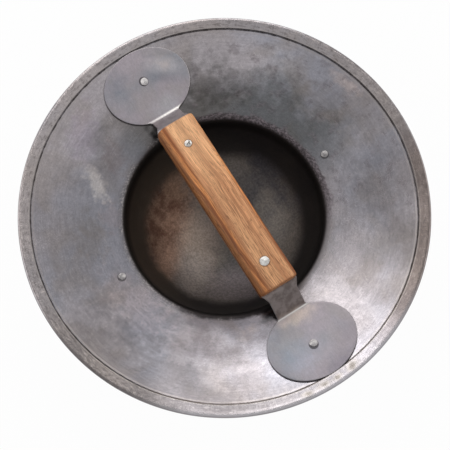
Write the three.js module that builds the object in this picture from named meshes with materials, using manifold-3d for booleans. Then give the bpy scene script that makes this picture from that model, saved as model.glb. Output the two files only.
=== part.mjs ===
// A steel buckler: a small round shield that a fist holds behind a hollow boss.
// Millimetres. It lies on its boss with its back up: +Z points at the wielder, +Y runs along the grip,
// and the origin is the middle of the boss's crown, on the axis of the shield.
import * as THREE from "three";
import { mergeVertices } from "three/addons/utils/BufferGeometryUtils.js";
import Module from "manifold-3d";

const wasm = await Module();
wasm.setup();

// Shield body: one sheet with a round boss, a shallow cone of a brim and a hem folded on to its back
const rimRadius = 150;
const sheetThickness = 1.5;
const brimSlope = THREE.MathUtils.degToRad(12);
const mouthRadius = 74; // where the brim's line would meet the boss's curve
const mouthRounding = 5; // at the middle of the sheet
const bossDepth = 63; // from that same corner to the crown
const crownFlatRadius = 12;
const hemWidth = 8.7;
const hemSlit = 0.3;

// Strap: a flat bridge under the grip, two sloping necks and two oval plates that lie on the brim
const strapThickness = 2;
const strapOffset = 2.5; // the strap is set this far to +X of the shield's axis
const bridgeClearance = 2.2; // from the middle of the rim's fold up to the bridge's underside
const bridgeWidth = 28.7;
const neckWidth = 23;
const neckRun = 15; // how far a neck runs along Y while it comes down
const shoulderRun = 3.5; // from the corner of the bridge's bend to where the neck has its own width
const bendRadius = 4; // at the middle of the strap
const plateWidth = 67.4;
const plateToMouth = 12.3; // from the mouth's corner out to the end of the plate's oval
const plateToHem = 0.4;
const gripShift = 2; // the bridge and the grip sit this much to +Y

// Grip: a wooden scale on each face of the bridge
const scaleWidth = 30.2;
const scaleThickness = 8;
const scaleEdgeRounding = 4;
const scaleCornerRounding = 2.5;
const scaleToBend = 1.5; // from the scale's end to the corner of the strap's bend

// Rivets
const brimShankRadius = 2.5;
const plateHeadRadius = 3.3;
const bodyHeadRadius = 2.9;
const brimHeadHeight = 1.5;
const plateRivetOutset = 3.3; // from the middle of a plate, away from the grip
const plateRivetShift = 1; // both plates' rivets sit this much to +Y
const bodyRivetToMouth = 14; // from the mouth's corner out to the rivet
const gripShankRadius = 2;
const gripRivetInset = 19.9; // from the scale's end
const upperGripHeadRadius = 2.7;
const lowerGripHeadRadius = 3.7;
const gripHeadHeight = 1.2;

// Clearances
const seatGap = 0.3; // between two pieces that rest on each other
const holeClearance = 0.3; // all round a shank
const cutOverrun = 5;

// How finely the curves are divided
const bodySegments = 72;
const rivetSegments = 20;
const bossSteps = 11;
const mouthSteps = 4;
const foldSteps = 6;
const bendSteps = 4;
const roundingSteps = 4;
const plateSteps = 13;
const plateTipAngle = THREE.MathUtils.degToRad(6); // round the oval, from its end to the first ring
const strapColumns = 8;
const headSteps = 3;

// Colours and finishes
const bodySteel = { color: 0x85828a, roughness: 0.45, metalness: 1 };
const strapSteel = { color: 0x8e8b92, roughness: 0.4, metalness: 1 };
const brimRivetSteel = { color: 0xaeabae, roughness: 0.35, metalness: 1 };
const gripRivetSteel = { color: 0xcfcccb, roughness: 0.3, metalness: 1 };
const outerWood = { color: 0xc08e68, roughness: 0.6, metalness: 0 };
const innerWood = { color: 0xb58560, roughness: 0.6, metalness: 0 };

// A line through the middle of a sheet is a list of points, each with the normal of the sheet's back there.
const unit = (angle) => new THREE.Vector2(Math.cos(angle), Math.sin(angle));

const angleOf = (vector) => Math.atan2(vector.y, vector.x);

// An arc whose normals turn between two angles; they point at its centre where the radius is positive.
function arc(centre, radius, fromAngle, toAngle, steps) {
  const points = [];
  for (let i = 0; i <= steps; i++) {
    const normal = unit(THREE.MathUtils.lerp(fromAngle, toAngle, i / steps));
    points.push({ at: centre.clone().addScaledVector(normal, -radius), normal });
  }
  return points;
}

// The arc that rounds a corner between two straight stretches.
function roundedCorner(from, corner, to, radius, steps) {
  const before = angleOf(corner.clone().sub(from)) + Math.PI / 2;
  const after = angleOf(to.clone().sub(corner)) + Math.PI / 2;
  const side = Math.sign(after - before) * radius;
  const setBack = radius * Math.tan(Math.abs(after - before) / 2);
  const start = corner.clone().addScaledVector(unit(before + Math.PI / 2), setBack);
  return arc(start.addScaledVector(unit(before), side), side, before, after, steps);
}

// The closed outline of a sheet of some thickness around such a line.
function sheetOutline(line, thickness) {
  const front = line.map((p) => p.at.clone().addScaledVector(p.normal, -thickness / 2));
  const back = line.map((p) => p.at.clone().addScaledVector(p.normal, thickness / 2));
  return [...front, ...back.reverse()];
}

// Between three.js geometry and solids that can be joined and cut
function solidOf(geometry) {
  const bare = new THREE.BufferGeometry();
  bare.setAttribute("position", geometry.getAttribute("position"));
  bare.setIndex(geometry.index);
  const merged = mergeVertices(bare);
  return new wasm.Manifold(
    new wasm.Mesh({
      numProp: 3,
      vertProperties: merged.attributes.position.array,
      triVerts: new Uint32Array(merged.index.array),
    }),
  );
}

function geometryOf(solid) {
  const mesh = solid.getMesh();
  const geometry = new THREE.BufferGeometry();
  geometry.setAttribute("position", new THREE.BufferAttribute(mesh.vertProperties, 3));
  geometry.setIndex(new THREE.BufferAttribute(mesh.triVerts, 1));
  geometry.computeVertexNormals();
  return geometry;
}

// An outline in radius and height, turned about Z.
function turned(outline, segments) {
  return new THREE.LatheGeometry(outline, segments).rotateX(Math.PI / 2);
}

// A shape in X and Y, as a prism between two heights.
function upright(shape, low, high) {
  const settings = { depth: high - low, curveSegments: roundingSteps, bevelEnabled: false };
  return new THREE.ExtrudeGeometry(shape, settings).translate(0, 0, low);
}

// The straight line of the brim in radius and height, through the middle of its sheet
const brimNormal = unit(brimSlope + Math.PI / 2);
const foldRadius = (sheetThickness + hemSlit) / 2;
const mouthHeight = sheetThickness / 2 + bossDepth;

function brimPoint(radius, lift) {
  const height = mouthHeight + (radius - mouthRadius) * Math.tan(brimSlope);
  return new THREE.Vector2(radius, height).addScaledVector(brimNormal, lift);
}

const brimEnd = brimPoint(rimRadius - sheetThickness / 2 - foldRadius * (1 + brimNormal.x), 0);
const foldCentre = brimEnd.clone().addScaledVector(brimNormal, foldRadius);
const rimHeight = foldCentre.y;

// The middle of the body's sheet, from the crown out to the cut edge of the hem.
function bodyLine() {
  const centreHeight = (mouthRadius ** 2 + bossDepth ** 2 - crownFlatRadius ** 2) / (2 * bossDepth);
  const bossRadius = Math.hypot(centreHeight, crownFlatRadius);
  const bossCentre = new THREE.Vector2(0, sheetThickness / 2 + centreHeight);
  const crown = { at: new THREE.Vector2(0, sheetThickness / 2), normal: unit(Math.PI / 2) };
  const crownAngle = Math.PI / 2 + Math.asin(crownFlatRadius / bossRadius);

  // The mouth's rounding touches both the brim's line and the boss's circle.
  const inward = unit(brimSlope + Math.PI);
  const start = brimEnd.clone().addScaledVector(brimNormal, -mouthRounding);
  const fromBoss = start.clone().sub(bossCentre);
  const nearest = -fromBoss.dot(inward);
  const halfChord = Math.sqrt(nearest ** 2 - fromBoss.lengthSq() + (bossRadius + mouthRounding) ** 2);
  const mouthCentre = start.addScaledVector(inward, nearest - halfChord);
  const wallAngle = angleOf(bossCentre.clone().sub(mouthCentre));
  const brimAngle = angleOf(brimNormal);

  // The first point of the boss is a corner, so its normal is mitred to keep the crown's thickness.
  const boss = arc(bossCentre, bossRadius, crownAngle, wallAngle, bossSteps);
  const mitre = 1 + crown.normal.dot(boss[0].normal);
  boss[0].normal = boss[0].normal.clone().add(crown.normal).divideScalar(mitre);

  const mouth = arc(mouthCentre, -mouthRounding, wallAngle, brimAngle, mouthSteps).slice(1);
  const fold = arc(foldCentre, foldRadius, brimAngle, brimAngle + Math.PI, foldSteps);
  const foldEnd = fold.at(-1);
  const hemRun = (foldEnd.at.x - rimRadius + hemWidth) / Math.cos(brimSlope);
  const hemEnd = { at: foldEnd.at.clone().addScaledVector(inward, hemRun), normal: foldEnd.normal };
  return [crown, ...boss, ...mouth, ...fold, hemEnd];
}

// Sizes of the strap and the grip that follow from the body
const plateLength = rimRadius - hemWidth - plateToHem - mouthRadius - plateToMouth;
const plateMiddle = mouthRadius + plateToMouth + plateLength / 2;
const plateUnderside = sheetThickness / 2 + seatGap;
const neckChordShare = Math.sqrt(1 - (neckWidth / plateWidth) ** 2);
const footCorner = plateMiddle - (plateLength / 2) * neckChordShare;
const bridgeCorner = footCorner - neckRun;
const bridgeHeight = rimHeight + bridgeClearance + strapThickness / 2;
const scaleLength = 2 * (bridgeCorner - scaleToBend);

// A rivet's place holds the rivet, and its matrix takes a cutter to the same spot.
// On the brim it is at the middle of the sheet, with its own +Z square to the brim.
function onBrim(x, y) {
  const radius = Math.hypot(x, y);
  const outward = brimNormal.x / radius;
  const square = new THREE.Vector3(outward * x, outward * y, brimNormal.y);
  const place = new THREE.Group();
  place.position.set(x, y, brimPoint(radius, 0).y);
  place.quaternion.setFromUnitVectors(new THREE.Vector3(0, 0, 1), square);
  place.updateMatrix();
  return place;
}

// In the grip it is at the middle of the strap, along Y from the middle of the grip.
function inGrip(y) {
  const place = new THREE.Group();
  place.position.set(0, y, 0);
  place.updateMatrix();
  return place;
}

const plateRivetReach = plateMiddle + plateRivetOutset;
const bodyRivetReach = mouthRadius + bodyRivetToMouth;
const gripRivetReach = scaleLength / 2 - gripRivetInset;
const plateRivetPlaces = {
  upper: onBrim(strapOffset, plateRivetShift + plateRivetReach),
  lower: onBrim(strapOffset, plateRivetShift - plateRivetReach),
};
const bodyRivetPlaces = { left: onBrim(-bodyRivetReach, 0), right: onBrim(bodyRivetReach, 0) };
const gripRivetPlaces = { upper: inGrip(gripRivetReach), lower: inGrip(-gripRivetReach) };

// A round cutter for a shank, long enough to pass through a thickness on both sides of a place.
function holeAt(place, shankRadius, thickness) {
  const radius = shankRadius + holeClearance;
  const cutter = new THREE.CylinderGeometry(radius, radius, 2 * (thickness + cutOverrun), rivetSegments);
  return solidOf(cutter.rotateX(Math.PI / 2).applyMatrix4(place.matrix));
}

function shieldBody() {
  let solid = solidOf(turned(sheetOutline(bodyLine(), sheetThickness), bodySegments));
  for (const place of [...Object.values(plateRivetPlaces), ...Object.values(bodyRivetPlaces)]) {
    solid = solid.subtract(holeAt(place, brimShankRadius, sheetThickness));
  }
  return solid;
}

// The middle of the strap in Y and Z, from the tip of the lower plate to the tip of the upper one.
function strapLine() {
  const lift = (plateUnderside + strapThickness / 2) / Math.cos(brimSlope);
  const onPlate = (y) => new THREE.Vector2(y, brimPoint(Math.abs(y), 0).y + lift);
  const onBridge = (y) => new THREE.Vector2(gripShift + y, bridgeHeight);
  const corners = [
    onPlate(-plateMiddle),
    onPlate(-footCorner),
    onBridge(-bridgeCorner),
    onBridge(bridgeCorner),
    onPlate(footCorner),
    onPlate(plateMiddle),
  ];
  const [lowerFoot, lowerEnd, upperEnd, upperFoot] = corners
    .slice(1, -1)
    .map((corner, i) => roundedCorner(corners[i], corner, corners[i + 2], bendRadius, bendSteps));

  // A plate's rings, from its tip to the bend at its foot
  const plateRings = (side, foot) => {
    const footAngle = Math.acos((Math.abs(foot.at.x) - plateMiddle) / (plateLength / 2));
    const rings = [];
    for (let i = 0; i < plateSteps; i++) {
      const angle = THREE.MathUtils.lerp(plateTipAngle, footAngle, i / plateSteps);
      const reach = plateMiddle + (plateLength / 2) * Math.cos(angle);
      rings.push({ at: onPlate(side * reach), normal: foot.normal });
    }
    return rings;
  };

  // Where the shoulders end, on the straight stretch of a neck
  const shoulderEnd = (above, below, side) => {
    const y = gripShift + side * (bridgeCorner + shoulderRun);
    const along = (y - above.at.x) / (below.at.x - above.at.x);
    return { at: above.at.clone().lerp(below.at, along), normal: above.normal };
  };

  return [
    ...plateRings(-1, lowerFoot[0]),
    ...lowerFoot,
    shoulderEnd(lowerEnd[0], lowerFoot.at(-1), -1),
    ...lowerEnd,
    ...upperEnd,
    shoulderEnd(upperEnd.at(-1), upperFoot[0], 1),
    ...upperFoot,
    ...plateRings(1, upperFoot.at(-1)).reverse(),
  ];
}

// Half the width of the strap at some Y: an oval over the plates, straight necks, shoulders and the bridge.
function strapHalfWidth(y) {
  const alongPlate = (Math.abs(y) - plateMiddle) / (plateLength / 2);
  if (-alongPlate < neckChordShare) return (plateWidth / 2) * Math.sqrt(1 - alongPlate ** 2);
  const pastGrip = Math.abs(y - gripShift) - scaleLength / 2;
  const narrowed = THREE.MathUtils.clamp(pastGrip / (scaleToBend + shoulderRun), 0, 1);
  return THREE.MathUtils.lerp(bridgeWidth, neckWidth, narrowed) / 2;
}

// The whole strap as one ribbon of rings; across X its plates follow the cone of the brim.
function strapRibbon() {
  const positions = [];
  const line = strapLine();
  for (const { at, normal } of line) {
    const halfWidth = strapHalfWidth(at.x);
    const offBridge = (Math.abs(at.x) - bridgeCorner) / neckRun;
    const follow = THREE.MathUtils.clamp(offBridge, 0, 1) * Math.tan(brimSlope);
    for (const side of [1, -1]) {
      const edge = at.clone().addScaledVector(normal, (side * strapThickness) / 2);
      for (let i = 0; i <= strapColumns; i++) {
        const x = strapOffset + side * halfWidth * ((2 * i) / strapColumns - 1);
        positions.push(x, edge.x, edge.y + follow * (Math.hypot(x, at.x) - Math.abs(at.x)));
      }
    }
  }

  const ring = 2 * (strapColumns + 1);
  const last = ring * (line.length - 1);
  const indices = [];
  const quad = (a, b, c, d) => indices.push(a, b, c, a, c, d);
  for (let start = 0; start < last; start += ring) {
    for (let i = 0; i < ring; i++) {
      const next = (i + 1) % ring;
      quad(start + i, start + next, start + ring + next, start + ring + i);
    }
  }
  for (let i = 0; i < strapColumns; i++) {
    const under = ring - 1 - i;
    quad(i, under, under - 1, i + 1);
    quad(last + i, last + i + 1, last + under - 1, last + under);
  }
  const geometry = new THREE.BufferGeometry();
  geometry.setAttribute("position", new THREE.Float32BufferAttribute(positions, 3));
  geometry.setIndex(indices);
  return geometry;
}

function gripStrap(gripPosition) {
  let solid = solidOf(strapRibbon());
  for (const place of Object.values(plateRivetPlaces)) {
    solid = solid.subtract(holeAt(place, brimShankRadius, sheetThickness + strapThickness));
  }
  for (const place of Object.values(gripRivetPlaces)) {
    const hole = holeAt(place, gripShankRadius, strapThickness);
    solid = solid.subtract(hole.translate(gripPosition.toArray()));
  }
  return solid;
}

// The outline of a box in X and Y, centred on X, with its lower and its upper corners rounded.
function roundedBox(width, low, high, lowRadius, highRadius) {
  const half = width / 2;
  const shape = new THREE.Shape();
  shape.moveTo(-half + lowRadius, low);
  shape.lineTo(half - lowRadius, low);
  if (lowRadius > 0) shape.absarc(half - lowRadius, low + lowRadius, lowRadius, -Math.PI / 2, 0);
  shape.lineTo(half, high - highRadius);
  shape.absarc(half - highRadius, high - highRadius, highRadius, 0, Math.PI / 2);
  shape.lineTo(-half + highRadius, high);
  shape.absarc(-half + highRadius, high - highRadius, highRadius, Math.PI / 2, Math.PI);
  if (lowRadius > 0) shape.absarc(-half + lowRadius, low + lowRadius, lowRadius, Math.PI, 1.5 * Math.PI);
  return shape;
}

// One wooden scale, flat side down on Z = 0.
function gripScale() {
  const half = scaleLength / 2;
  const section = roundedBox(scaleWidth, 0, scaleThickness, 0, scaleEdgeRounding);
  const plan = roundedBox(scaleWidth, -half, half, scaleCornerRounding, scaleCornerRounding);
  const bar = solidOf(upright(section, -half, half).rotateX(Math.PI / 2));
  let solid = bar.intersect(solidOf(upright(plan, -cutOverrun, scaleThickness + cutOverrun)));
  for (const place of Object.values(gripRivetPlaces)) {
    solid = solid.subtract(holeAt(place, gripShankRadius, scaleThickness));
  }
  return solid;
}

// A rivet along Z, with a low domed head at each end of the pieces that it holds.
function rivet(front, back, shankRadius, headRadius, headHeight) {
  const dome = (face, side) => {
    const points = [];
    for (let i = 0; i <= headSteps; i++) {
      const edge = unit((Math.PI / 2) * (1 - i / headSteps));
      points.push(new THREE.Vector2(headRadius * edge.x, face + side * (seatGap + headHeight * edge.y)));
    }
    return points;
  };
  const shank = [front - seatGap, back + seatGap].map((height) => new THREE.Vector2(shankRadius, height));
  return solidOf(turned([...dome(front, -1), ...shank, ...dome(back, 1).reverse()], rivetSegments));
}

// Pieces, each with a material of its own
function piece(name, solid, finish) {
  const mesh = new THREE.Mesh(geometryOf(solid), new THREE.MeshStandardMaterial(finish));
  mesh.name = name;
  return mesh;
}

const buckler = new THREE.Group();
const grip = new THREE.Group();
grip.position.set(strapOffset, gripShift, bridgeHeight);
buckler.add(piece("shield_body", shieldBody(), bodySteel), grip);
buckler.add(piece("grip_strap", gripStrap(grip.position), strapSteel));

for (const [side, place] of Object.entries(plateRivetPlaces)) {
  const back = plateUnderside + strapThickness;
  const solid = rivet(-sheetThickness / 2, back, brimShankRadius, plateHeadRadius, brimHeadHeight);
  place.add(piece(`plate_rivet_${side}`, solid, brimRivetSteel));
  buckler.add(place);
}

for (const [side, place] of Object.entries(bodyRivetPlaces)) {
  const face = sheetThickness / 2;
  const solid = rivet(-face, face, brimShankRadius, bodyHeadRadius, brimHeadHeight);
  place.add(piece(`body_rivet_${side}`, solid, brimRivetSteel));
  buckler.add(place);
}

const outerScale = piece("outer_grip_scale", gripScale(), outerWood);
const innerScale = piece("inner_grip_scale", gripScale(), innerWood);
outerScale.position.z = strapThickness / 2 + seatGap;
innerScale.position.z = -outerScale.position.z;
innerScale.rotation.y = Math.PI;
grip.add(outerScale, innerScale);

const gripHeadRadii = { upper: upperGripHeadRadius, lower: lowerGripHeadRadius };
for (const [side, place] of Object.entries(gripRivetPlaces)) {
  const face = outerScale.position.z + scaleThickness;
  const solid = rivet(-face, face, gripShankRadius, gripHeadRadii[side], gripHeadHeight);
  place.add(piece(`grip_rivet_${side}`, solid, gripRivetSteel));
  grip.add(place);
}

export default buckler;
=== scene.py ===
"""The looks of a steel buckler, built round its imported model.

The frame is the model's own, in metres: the crown of the boss is at the origin, +Z points at the wielder
and +Y runs along the grip. Shapes are worked out in millimetres and turned into metres with their meshes.
"""

import functools
import math
from collections import namedtuple

import bmesh
import bpy
import numpy as np
from mathutils import Matrix, Vector


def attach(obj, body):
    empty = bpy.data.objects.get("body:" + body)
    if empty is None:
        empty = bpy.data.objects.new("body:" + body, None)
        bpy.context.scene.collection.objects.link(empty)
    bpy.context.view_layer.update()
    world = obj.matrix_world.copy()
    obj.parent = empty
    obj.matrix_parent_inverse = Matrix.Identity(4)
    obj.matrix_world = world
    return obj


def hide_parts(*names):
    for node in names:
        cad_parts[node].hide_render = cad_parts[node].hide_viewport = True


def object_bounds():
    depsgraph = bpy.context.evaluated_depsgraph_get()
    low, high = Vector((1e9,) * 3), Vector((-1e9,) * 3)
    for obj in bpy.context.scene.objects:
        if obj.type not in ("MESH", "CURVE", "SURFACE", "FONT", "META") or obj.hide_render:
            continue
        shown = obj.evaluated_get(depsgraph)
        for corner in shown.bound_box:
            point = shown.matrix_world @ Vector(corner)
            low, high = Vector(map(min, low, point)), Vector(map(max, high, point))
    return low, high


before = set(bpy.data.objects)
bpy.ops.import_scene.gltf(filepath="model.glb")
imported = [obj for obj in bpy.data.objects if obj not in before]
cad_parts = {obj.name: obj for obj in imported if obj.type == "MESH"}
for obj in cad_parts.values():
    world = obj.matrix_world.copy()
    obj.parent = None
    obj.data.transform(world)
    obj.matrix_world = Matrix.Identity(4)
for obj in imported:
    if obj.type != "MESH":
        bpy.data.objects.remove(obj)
cad_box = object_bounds()

MM = 0.001

# The photograph: 450 by 450 pixels, taken from above and a little from the near left
PICTURE_SIZE = 450
FOCAL_PIXELS = 1240.2
RIM_CENTRE_PIXELS = (224.5, 210.0)
CAMERA_DISTANCE = 900
CAMERA_AZIMUTH = math.radians(-32)
CAMERA_ELEVATION = math.radians(75.8)
SENSOR_WIDTH = 36

# Shield body, as in the model
RIM_RADIUS = 150
SHEET = 1.5
BRIM_SLOPE = math.radians(12)
MOUTH_RADIUS = 74
MOUTH_ROUNDING = 5
BOSS_DEPTH = 63
CROWN_FLAT = 12
CROWN_EASING = 15
LIP_REACH = 3.6
HEM_WIDTH = 8.7
HEM_SLIT = 0.3
HEM_EDGE_ROUNDING = 0.3

# Strap, as in the model
STRAP = 2
STRAP_OFFSET = 2.5
BRIDGE_CLEARANCE = 2.2
BRIDGE_WIDTH = 28.7
NECK_WIDTH = 23
NECK_RUN = 15
SHOULDER_RUN = 3.5
BEND_RADIUS = 4
PLATE_WIDTH = 67.4
PLATE_TO_MOUTH = 12.3
PLATE_TO_HEM = 0.4
GRIP_SHIFT = 2
NECK_FLARE = 3
STRAP_EDGE_ROUNDING = 0.4

# Grip, as in the model, though its two long edges are worn round by different amounts
SCALE_WIDTH = 30.2
SCALE_THICKNESS = 8
SCALE_TO_BEND = 1.5
SCALE_LEFT_ROUNDING = 5.6
SCALE_RIGHT_ROUNDING = 3.4
SCALE_CROWN = 0.7
SCALE_END_ROUNDING = 1.1
SCALE_CORNER_ROUNDING = 2.5
SCALE_WEAR = 0.12
SCALE_WEAR_LENGTHS = (9, 15, 27, 52)

# Rivets, where the model has them. A head has a radius, a height, flats beaten into it and a fullness of its dome,
# which is 2 where it is round and more where its shoulders are square
PLATE_RIVET_OUTSET = 3.3
PLATE_RIVET_SHIFT = 1
BODY_RIVET_TO_MOUTH = 14
GRIP_RIVET_INSET = 19.9
BRIM_SHANK_RADIUS = 2.5
GRIP_SHANK_RADIUS = 2
Head = namedtuple("Head", "radius height flats fullness")
PLATE_HEAD = Head(2.9, 1.5, 6, 2.6)
BODY_HEAD = Head(2.7, 1.5, 3, 3.4)
UPPER_GRIP_HEAD = Head(2.7, 1.2, 9, 2.0)
LOWER_GRIP_HEAD = Head(3.5, 1.2, 5, 3.0)
FLAT_TILTS = (0.08, 0.42)
FLAT_DEPTHS = (0.02, 0.14)
SEAT_GAP = 0.3

# Unevenness of the hand-worked sheet
DENT_HEIGHT = 0.058
DENT_LENGTHS = (28, 85)
DENT_WAVES = 26
DENT_SEED = 11
HEM_EDGE_LEAN = 0.55
HEM_EDGE_LEAN_ANGLE = math.radians(58)
HEM_EDGE_WANDER = 0.22
HEM_EDGE_WAVES = (3, 5, 8, 13, 21)
HEM_EDGE_REACH = 7.5

# The model's rim is a polygon, so the round sheet is drawn smaller by this share to stay inside it
SHEET_SHARE = 0.9997

# Steps of the meshes along each stretch
SHIELD_SEGMENTS = 320
BOSS_STEPS = 44
SHEET_BEND_STEPS = 12
BRIM_STEPS = 26
UNDER_HEM_STEPS = 4
HEM_STEPS = 6
BRIDGE_STEPS = 16
STRAP_BEND_STEPS = 10
NECK_STEPS = 10
PLATE_STEPS = 52
STRAP_COLUMNS = 29
SCALE_EDGE_STEPS = 11
SCALE_COLUMNS = 18
SCALE_BASE_COLUMNS = 12
SCALE_END_STEPS = 7
SCALE_ROWS = 60
RIVET_SEGMENTS = 48
HEAD_RINGS = 15
SHARP_ANGLE = math.radians(38)
PLATE_TIP_ANGLE = math.radians(179.5)
HEAD_MIDDLE_ANGLE = math.radians(4)

# Soft boxes: angles from straight above to the picture's right and far side, width and depth in metres, turn in
# their own plane and brightness, where an even room of 1 would show white paint as white
SOFT_BOXES = {
    "key": ((-4.2, 23.6), (0.264, 0.154), 15, 3.05),
    "far": ((-20, 60), (1.0, 0.6), 0, 1.7),
    "right": ((64, 30), (0.9, 0.9), 0, 1.0),
    "left": ((-62, 8), (0.9, 0.9), 0, 0.9),
}
BOX_DISTANCE = 1.15
LAMP_COLOUR = (1.0, 0.985, 0.955)
ROOM_LIGHT = 0.5
FLOOR_SIZE = 6.0
FLOOR_GLOW_SHARE = 0.965

brim_normal = np.array([-math.sin(BRIM_SLOPE), math.cos(BRIM_SLOPE)])
brim_outward = np.array([math.cos(BRIM_SLOPE), math.sin(BRIM_SLOPE)])
mouth_height = SHEET / 2 + BOSS_DEPTH
fold_radius = (SHEET + HEM_SLIT) / 2


# Plane curves: points and the normals of the sheet's back, in radius (or Y) and height


def circle(segments):
    return np.linspace(0, 2 * math.pi, segments, endpoint=False)


def direction(angle):
    return np.array([math.cos(angle), math.sin(angle)])


def arc(centre, radius, start, end, steps):
    """An arc whose normals turn from start to end; they point at its centre where radius is positive."""
    angles = np.linspace(start, end, steps + 1)
    normals = np.column_stack([np.cos(angles), np.sin(angles)])
    return centre - radius * normals, normals


def straight(start, end, steps, normal):
    """A straight stretch without its two ends."""
    along = np.linspace(0, 1, steps + 1)[1:-1, None]
    return start + along * (end - start), np.tile(normal, (steps - 1, 1))


def rounded_corner(before, corner, after, radius, steps):
    """The arc that rounds a corner between two straight stretches."""
    first, second = (math.atan2(*(b - a)[::-1]) + math.pi / 2 for a, b in ((before, corner), (corner, after)))
    side = math.copysign(radius, second - first)
    set_back = radius * math.tan(abs(second - first) / 2)
    start = corner - set_back * direction(first - math.pi / 2)
    return arc(start + side * direction(first), side, first, second, steps)


def joined(stretches):
    """The points and normals of stretches that follow each other."""
    return (np.concatenate([stretch[part] for stretch in stretches]) for part in (0, 1))


def brim_point(radius):
    """A place in the middle of the brim's sheet: its radius and its height."""
    return np.array([radius, mouth_height + (radius - MOUTH_RADIUS) * math.tan(BRIM_SLOPE)])


brim_end = brim_point(RIM_RADIUS - SHEET / 2 - fold_radius * (1 + brim_normal[0]))
fold_centre = brim_end + fold_radius * brim_normal
rim_height = fold_centre[1]
hem_edge_radius = RIM_RADIUS - HEM_WIDTH

plate_length = hem_edge_radius - PLATE_TO_HEM - MOUTH_RADIUS - PLATE_TO_MOUTH
plate_middle = MOUTH_RADIUS + PLATE_TO_MOUTH + plate_length / 2
foot_corner = plate_middle - plate_length / 2 * math.sqrt(1 - (NECK_WIDTH / PLATE_WIDTH) ** 2)
bridge_corner = foot_corner - NECK_RUN
bridge_height = rim_height + BRIDGE_CLEARANCE + STRAP / 2
scale_length = 2 * (bridge_corner - SCALE_TO_BEND)
grip_rivet_reach = scale_length / 2 - GRIP_RIVET_INSET


def unevenness(x, y):
    """How far hammering and use have moved the sheet up or down at a place; the crown stays where it is."""
    chance = np.random.default_rng(DENT_SEED)
    total = np.zeros(np.broadcast(x, y).shape)
    for _ in range(DENT_WAVES):
        length = chance.uniform(*DENT_LENGTHS)
        angle, phase = chance.uniform(0, 2 * math.pi, 2)
        total += np.sin((x * math.cos(angle) + y * math.sin(angle)) * 2 * math.pi / length + phase)
    clear_of_crown = np.clip((np.hypot(x, y) - CROWN_FLAT) / CROWN_FLAT, 0, 1)
    return DENT_HEIGHT * total / math.sqrt(DENT_WAVES / 2) * clear_of_crown


# Meshes


def add(name, data):
    """An object in the scene."""
    thing = bpy.data.objects.new(name, data)
    bpy.context.scene.collection.objects.link(thing)
    return thing


def loft(name, rings, values=None):
    """A closed mesh through rings of points (ring, point, axis) with a fan at each end.

    values holds the numbers of each vertex attribute, one a ring or one for each point of a ring.
    """
    count, size, _ = rings.shape
    hubs = rings[[0, -1]].mean(axis=1)
    points = np.concatenate([rings.reshape(-1, 3), hubs]) * MM
    here = np.arange(size)
    beside = (here + 1) % size
    starts = (np.arange(count - 1) * size)[:, None]
    quads = np.stack([starts + here, starts + beside, starts + size + beside, starts + size + here], axis=-1)
    last = (count - 1) * size
    first_fan = np.column_stack([beside, here, np.full(size, count * size)])
    last_fan = np.column_stack([last + here, last + beside, np.full(size, count * size + 1)])
    faces = quads.reshape(-1, 4).tolist() + first_fan.tolist() + last_fan.tolist()

    mesh = bpy.data.meshes.new(name)
    mesh.from_pydata(points.tolist(), [], faces)
    for key, numbers in (values or {}).items():
        spread = np.broadcast_to(numbers, (count, size))
        spread = np.append(spread, spread[[0, -1], 0]).astype(np.float32)
        mesh.attributes.new(key, "FLOAT", "POINT").data.foreach_set("value", spread)
    orient(mesh)
    return add(name, mesh)


def orient(mesh):
    """Turns the faces outwards and shades them smooth, apart from the sharp edges."""
    shell = bmesh.new()
    shell.from_mesh(mesh)
    bmesh.ops.recalc_face_normals(shell, faces=shell.faces)
    shell.to_mesh(mesh)
    shell.free()
    mesh.shade_smooth()
    mesh.set_sharp_from_angle(angle=SHARP_ANGLE)


def show(piece, node, slot, material):
    """The piece stands for a node of the model, whose mesh it hides, and takes the given material; slot is not used.
    """
    piece.data.materials.append(material)
    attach(piece, "root")
    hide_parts(node)


# The shield's sheet

FAR_FROM_SEAM = 50


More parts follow.
